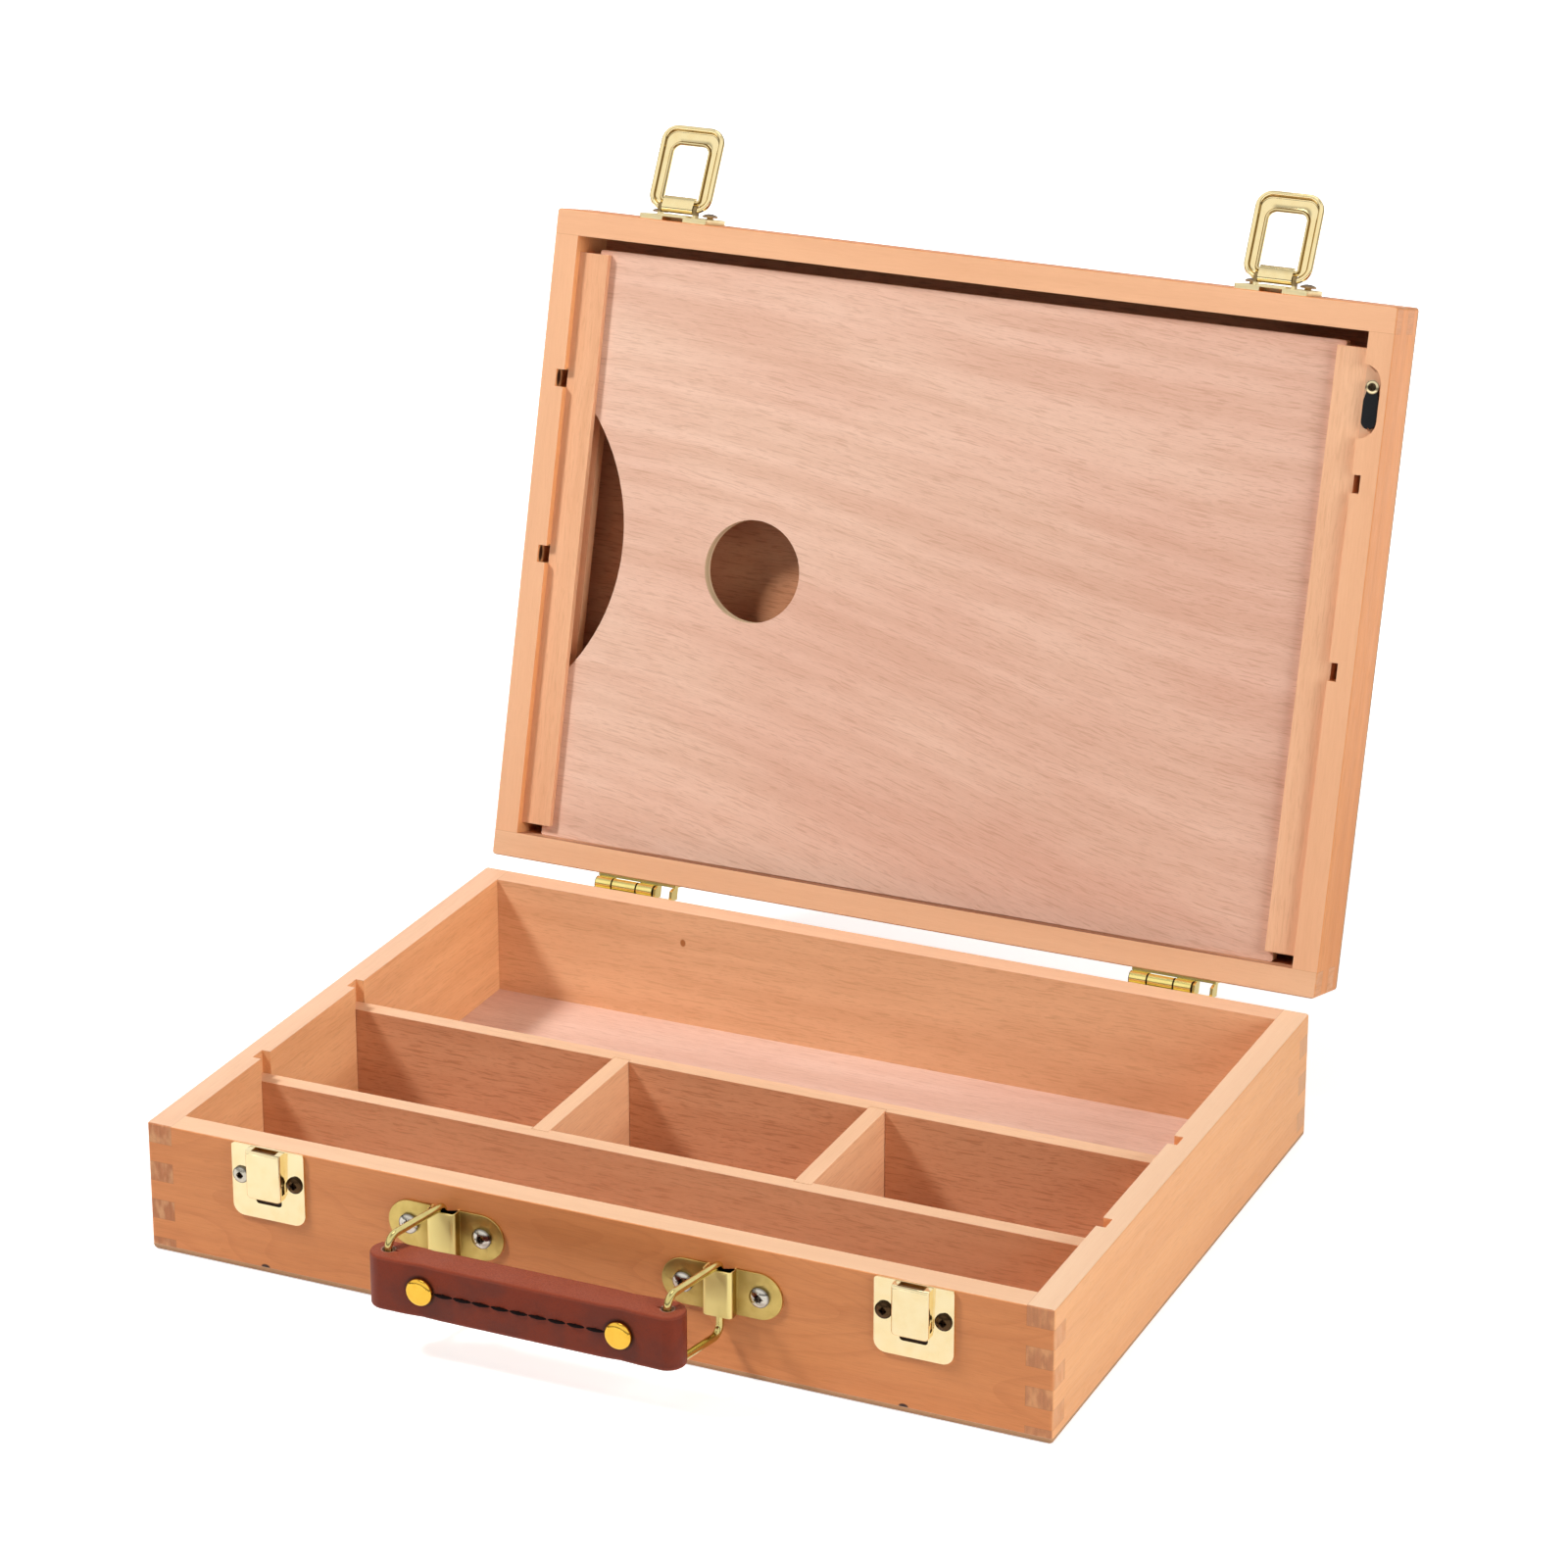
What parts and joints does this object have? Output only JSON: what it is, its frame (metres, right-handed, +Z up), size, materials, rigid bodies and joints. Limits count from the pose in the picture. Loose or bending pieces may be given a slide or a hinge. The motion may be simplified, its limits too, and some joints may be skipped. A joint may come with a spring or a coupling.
{
  "type": "pochade box",
  "caption": "Shallow wooden painter's box with a hinged lid standing open, lift-out dividers, a thumb-hole palette held in the lid, loop latches and a leather handle on swinging rings.",
  "frame": {"origin": "centre of the base's underside, on the surface it stands on", "axes": "+X to the right, +Y from the handle side to the hinges, +Z up"},
  "size_m": [0.4, 0.4619, 0.3905],
  "materials": {
    "beech": "satin",
    "beech_inner": "satin",
    "beech_board": "satin",
    "black_plastic": "satin",
    "brass_hinge": "polished",
    "brass_latch": "polished",
    "brass_bracket": "satin",
    "brass_ring": "polished",
    "brass_rivet": "polished",
    "brass_screw": "satin",
    "bronze_screw": "dark satin",
    "nickel_screw": "satin",
    "steel_pin": "satin",
    "leather": "satin"
  },
  "bodies": {
    "base": {"base_front_wall": "beech", "base_back_wall": "beech", "base_left_wall": "beech", "base_right_wall": "beech", "base_bottom_panel": "beech_board", "catch_plate_left": "brass_latch", "catch_plate_right": "brass_latch", "catch_screws": "bronze_screw", "handle_bracket_left": "brass_bracket", "handle_bracket_right": "brass_bracket", "bracket_screws": "nickel_screw", "hinge_base_leaf_left": "brass_hinge", "hinge_base_leaf_right": "brass_hinge", "hinge_base_screws": "brass_screw", "hinge_pins": "steel_pin"},
    "lid": {"lid_front_wall": "beech", "lid_back_wall": "beech", "lid_left_wall": "beech", "lid_right_wall": "beech", "lid_panel": "beech_board", "runner_left": "beech_inner", "runner_right": "beech_inner", "loop_plate_left": "brass_latch", "loop_plate_right": "brass_latch", "loop_plate_screws": "bronze_screw", "latch_pins": "steel_pin", "hinge_lid_leaf_left": "brass_hinge", "hinge_lid_leaf_right": "brass_hinge", "hinge_lid_screws": "brass_screw", "turn_button_screw": "brass_screw"},
    "turn_button": {"turn_button": "black_plastic"},
    "palette": {"palette": "beech_board"},
    "latch_loop_left": {"latch_loop_left": "brass_latch"},
    "latch_loop_right": {"latch_loop_right": "brass_latch"},
    "handle_ring_left": {"handle_ring_left": "brass_ring"},
    "handle_ring_right": {"handle_ring_right": "brass_ring"},
    "handle": {"handle_strap": "leather", "handle_rivets": "brass_rivet"},
    "divider_front": {"divider_front": "beech_inner"},
    "divider_rear": {"divider_rear": "beech_inner"},
    "cross_divider_left": {"cross_divider_left": "beech_inner"},
    "cross_divider_right": {"cross_divider_right": "beech_inner"}
  },
  "joints": [
    {"name": "lid_hinge", "type": "hinge", "parent": "base", "child": "lid", "pos_m": [0, 0.1544, 0.0582], "axis": [1, 0, 0], "range_deg": [0, 105]},
    {"name": "latch_loop_left_swing", "type": "hinge", "parent": "lid", "child": "latch_loop_left", "pos_m": [-0.1425, 0.24102, 0.35634], "axis": [1, 0, 0], "range_deg": [0, 105]},
    {"name": "latch_loop_right_swing", "type": "hinge", "parent": "lid", "child": "latch_loop_right", "pos_m": [0.1425, 0.24102, 0.35634], "axis": [1, 0, 0], "range_deg": [0, 105]},
    {"name": "turn_button_turn", "type": "hinge", "parent": "lid", "child": "turn_button", "pos_m": [0.1927, 0.22625, 0.31785], "axis": [0, 0.9659, -0.2588], "range_deg": [0, 90]},
    {"name": "palette_slide", "type": "slide", "parent": "lid", "child": "palette", "axis": [0, 0.2588, 0.9659], "range_m": [0, 0.005]},
    {"name": "handle_ring_left_swing", "type": "hinge", "parent": "base", "child": "handle_ring_left", "pos_m": [-0.061, -0.1529, 0.038], "axis": [0, 0, 1], "range_deg": [-57, 79]},
    {"name": "handle_ring_right_swing", "type": "hinge", "parent": "base", "child": "handle_ring_right", "pos_m": [0.061, -0.1529, 0.038], "axis": [0, 0, 1], "range_deg": [-57, 79]},
    {"name": "handle_pivot", "type": "hinge", "parent": "handle_ring_left", "child": "handle", "pos_m": [-0.06749, -0.18627, 0.033], "axis": [0, 0, 1], "range_deg": [-79, 57]},
    {"name": "divider_front_lift", "type": "slide", "parent": "base", "child": "divider_front", "axis": [0, 0, -1], "range_m": [-0.055, 0]},
    {"name": "divider_rear_lift", "type": "slide", "parent": "base", "child": "divider_rear", "axis": [0, 0, -1], "range_m": [-0.055, 0]},
    {"name": "cross_divider_left_lift", "type": "slide", "parent": "base", "child": "cross_divider_left", "axis": [0, 0, -1], "range_m": [-0.055, 0]},
    {"name": "cross_divider_right_lift", "type": "slide", "parent": "base", "child": "cross_divider_right", "axis": [0, 0, -1], "range_m": [-0.055, 0]}
  ],
  "couplings": [
    {"joint": "handle_ring_right_swing", "follows": "handle_ring_left_swing", "ratio": 1},
    {"joint": "handle_pivot", "follows": "handle_ring_left_swing", "ratio": -1}
  ]
}
